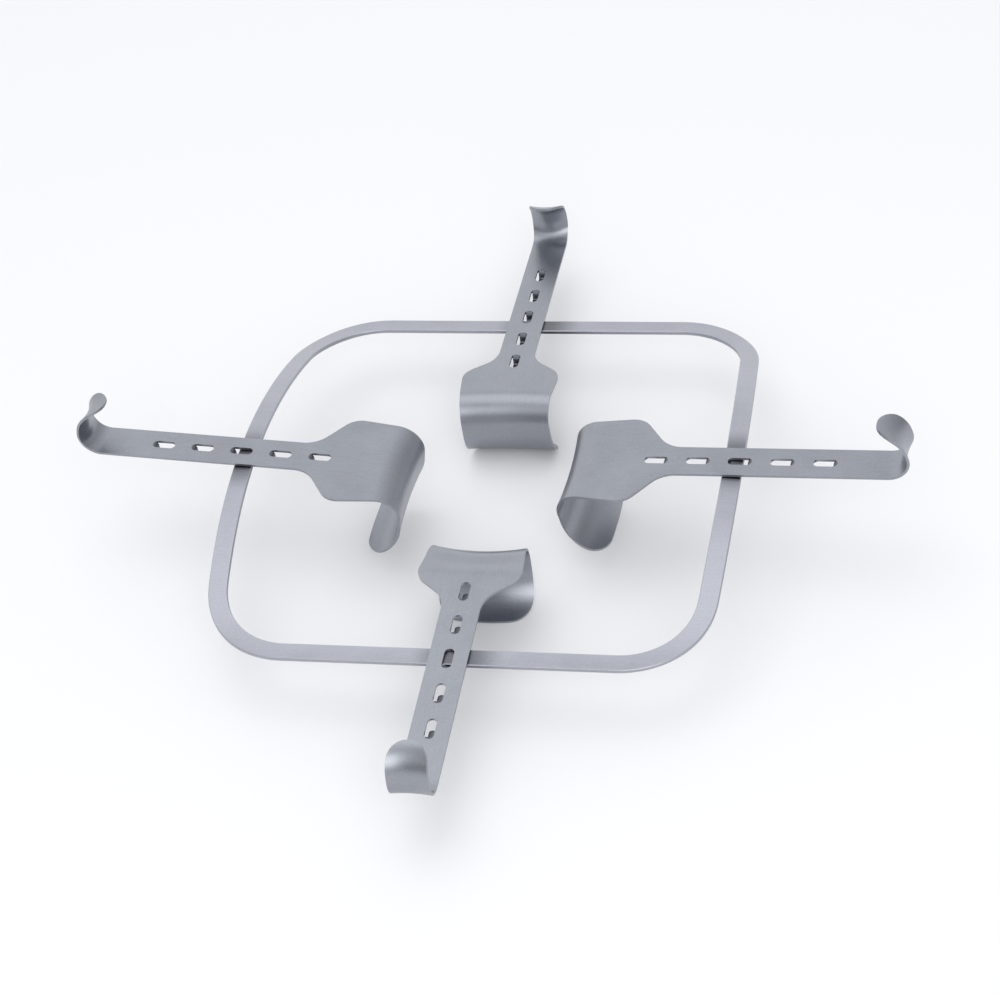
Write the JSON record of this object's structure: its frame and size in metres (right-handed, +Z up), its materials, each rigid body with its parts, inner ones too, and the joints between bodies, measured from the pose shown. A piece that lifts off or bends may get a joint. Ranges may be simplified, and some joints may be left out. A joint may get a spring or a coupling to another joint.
{
  "type": "self-retaining surgical retractor",
  "caption": "Self-retaining abdominal retractor: an arched flat steel ring with slotted saddle blades clipped over its bars, each with a finger hook.",
  "frame": {"origin": "middle of the ring's window, at mid thickness of the highest points of its side rails", "axes": "+Z up out of the wound, +X to the right across the two side rails, +Y away from the near bar"},
  "size_m": [0.441, 0.446, 0.0904],
  "materials": {
    "ring_steel": "satin",
    "blade_steel": "satin"
  },
  "bodies": {
    "ring": {"ring": "ring_steel"},
    "right_blade": {"right_blade": "blade_steel"},
    "far_blade": {"far_blade": "blade_steel"},
    "left_blade": {"left_blade": "blade_steel"},
    "near_blade": {"near_blade": "blade_steel"}
  },
  "joints": [
    {"name": "right_blade_along_rail", "type": "hinge", "parent": "ring", "child": "right_blade", "pos_m": [0, 0, -0.304], "axis": [-1, 0, 0], "range_deg": [-11.65, 14.97]},
    {"name": "far_blade_along_bar", "type": "slide", "parent": "ring", "child": "far_blade", "axis": [1, 0, 0], "range_m": [-0.0049, 0.0151]},
    {"name": "left_blade_along_rail", "type": "hinge", "parent": "ring", "child": "left_blade", "pos_m": [0, 0, -0.304], "axis": [-1, 0, 0], "range_deg": [-11.9, 14.73]},
    {"name": "near_blade_along_bar", "type": "slide", "parent": "ring", "child": "near_blade", "axis": [1, 0, 0], "range_m": [-0.012, 0.008]}
  ]
}
